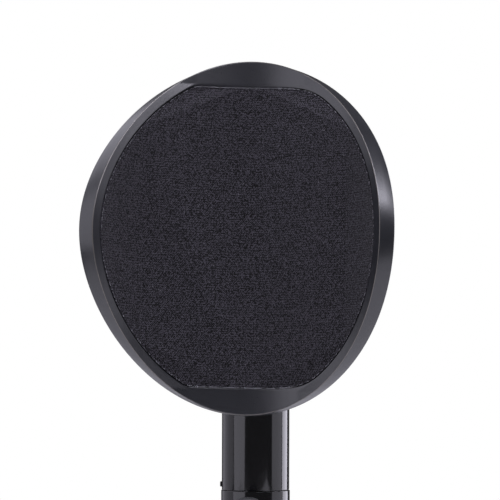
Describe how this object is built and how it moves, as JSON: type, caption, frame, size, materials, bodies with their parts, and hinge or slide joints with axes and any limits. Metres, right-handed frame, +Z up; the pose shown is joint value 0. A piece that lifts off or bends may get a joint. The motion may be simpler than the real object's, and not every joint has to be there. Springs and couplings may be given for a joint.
{
  "type": "microphone isolation shield",
  "caption": "Oval cloth-faced acoustic panel bent into a trough, in a black plastic frame on a tilting and swivelling head, on a round telescoping post that screws onto a stand.",
  "frame": {"origin": "on the post's axis, at the mouth of the stand socket in the bottom of the barrel", "axes": "+Z up along the post, -Y towards the microphone, out of the hollow of the shield, +X to the right as the hollow is faced, towards the tilt knob"},
  "size_m": [0.1586, 0.1121, 0.3332],
  "materials": {
    "satin_plastic": "satin black moulded plastic with a fine grain",
    "gloss_paint": "gloss black paint on a steel tube",
    "grip_plastic": "matt black glass-filled plastic",
    "cloth": "charcoal knitted cloth",
    "foam": "charcoal open-cell foam",
    "felt": "grey pressed felt",
    "steel": "zinc-plated steel",
    "black_steel": "black oxide steel",
    "brass": "turned brass",
    "nylon": "natural nylon"
  },
  "bodies": {
    "stand_head": {"barrel_base": "grip_plastic", "thread_insert": "brass", "stand_barrel": "gloss_paint", "top_bush": "nylon"},
    "clamp_shoe": {"pressure_shoe": "nylon"},
    "clamp_screw": {"clamp_stud": "steel", "clamp_knob": "grip_plastic", "knob_cap": "satin_plastic"},
    "post": {"post_tube": "gloss_paint", "guide_ring": "nylon", "guide_tube": "steel", "guide_bush": "nylon", "guide_screw": "black_steel", "post_plug": "satin_plastic"},
    "swivel_head": {"swivel_head": "satin_plastic", "swivel_washer": "nylon"},
    "lock_tip": {"lock_pad": "nylon"},
    "lock_screw": {"lock_screw": "grip_plastic"},
    "shield": {"front_frame": "satin_plastic", "cloth_face": "cloth", "foam_pad": "foam", "perforated_plate": "steel", "felt_layer": "felt", "rear_shell": "satin_plastic", "tilt_bracket": "black_steel", "pivot_bolt": "black_steel", "friction_washer_left": "nylon", "friction_washer_right": "nylon", "shell_screw_1": "black_steel", "shell_screw_2": "black_steel", "shell_screw_3": "black_steel", "shell_screw_4": "black_steel", "shell_screw_5": "black_steel", "shell_screw_6": "black_steel", "shell_screw_7": "black_steel", "shell_screw_8": "black_steel", "bracket_screw_1": "black_steel", "bracket_screw_2": "black_steel", "bracket_screw_3": "black_steel", "bracket_screw_4": "black_steel"},
    "tilt_washer": {"thrust_washer": "steel"},
    "tilt_knob": {"tilt_knob": "grip_plastic"}
  },
  "joints": [
    {"name": "shoe_travel", "type": "slide", "parent": "stand_head", "child": "clamp_shoe", "axis": [0, -1, 0], "range_m": [0, 0.00187]},
    {"name": "clamp_knob_turn", "type": "hinge", "parent": "clamp_shoe", "child": "clamp_screw", "pos_m": [0, 0, 0.0845], "axis": [0, -1, 0], "range_deg": [0, 541]},
    {"name": "post_height", "type": "slide", "parent": "stand_head", "child": "post", "axis": [0, 0, 1], "range_m": [0, 0.035]},
    {"name": "head_swivel", "type": "hinge", "parent": "post", "child": "swivel_head", "pos_m": [0, 0, 0.2], "axis": [0, 0, 1], "continuous": true},
    {"name": "lock_tip_travel", "type": "slide", "parent": "swivel_head", "child": "lock_tip", "axis": [0, 1, 0], "range_m": [0, 0.0012]},
    {"name": "lock_screw_turn", "type": "hinge", "parent": "lock_tip", "child": "lock_screw", "pos_m": [0, 0, 0.20845], "axis": [0, 1, 0], "range_deg": [0, 541]},
    {"name": "shield_tilt", "type": "hinge", "parent": "swivel_head", "child": "shield", "pos_m": [0, 0, 0.24], "axis": [-1, 0, 0], "range_deg": [-8, 35]},
    {"name": "washer_travel", "type": "slide", "parent": "shield", "child": "tilt_washer", "axis": [1, 0, 0], "range_m": [0, 0.001]},
    {"name": "tilt_knob_turn", "type": "hinge", "parent": "tilt_washer", "child": "tilt_knob", "pos_m": [0, 0, 0.24], "axis": [1, 0, 0], "range_deg": [0, 361]}
  ],
  "couplings": [
    {"joint": "clamp_knob_turn", "follows": "shoe_travel", "rad_per_m": 5026.5},
    {"joint": "lock_screw_turn", "follows": "lock_tip_travel", "rad_per_m": 7854},
    {"joint": "tilt_knob_turn", "follows": "washer_travel", "rad_per_m": 6283.2}
  ]
}
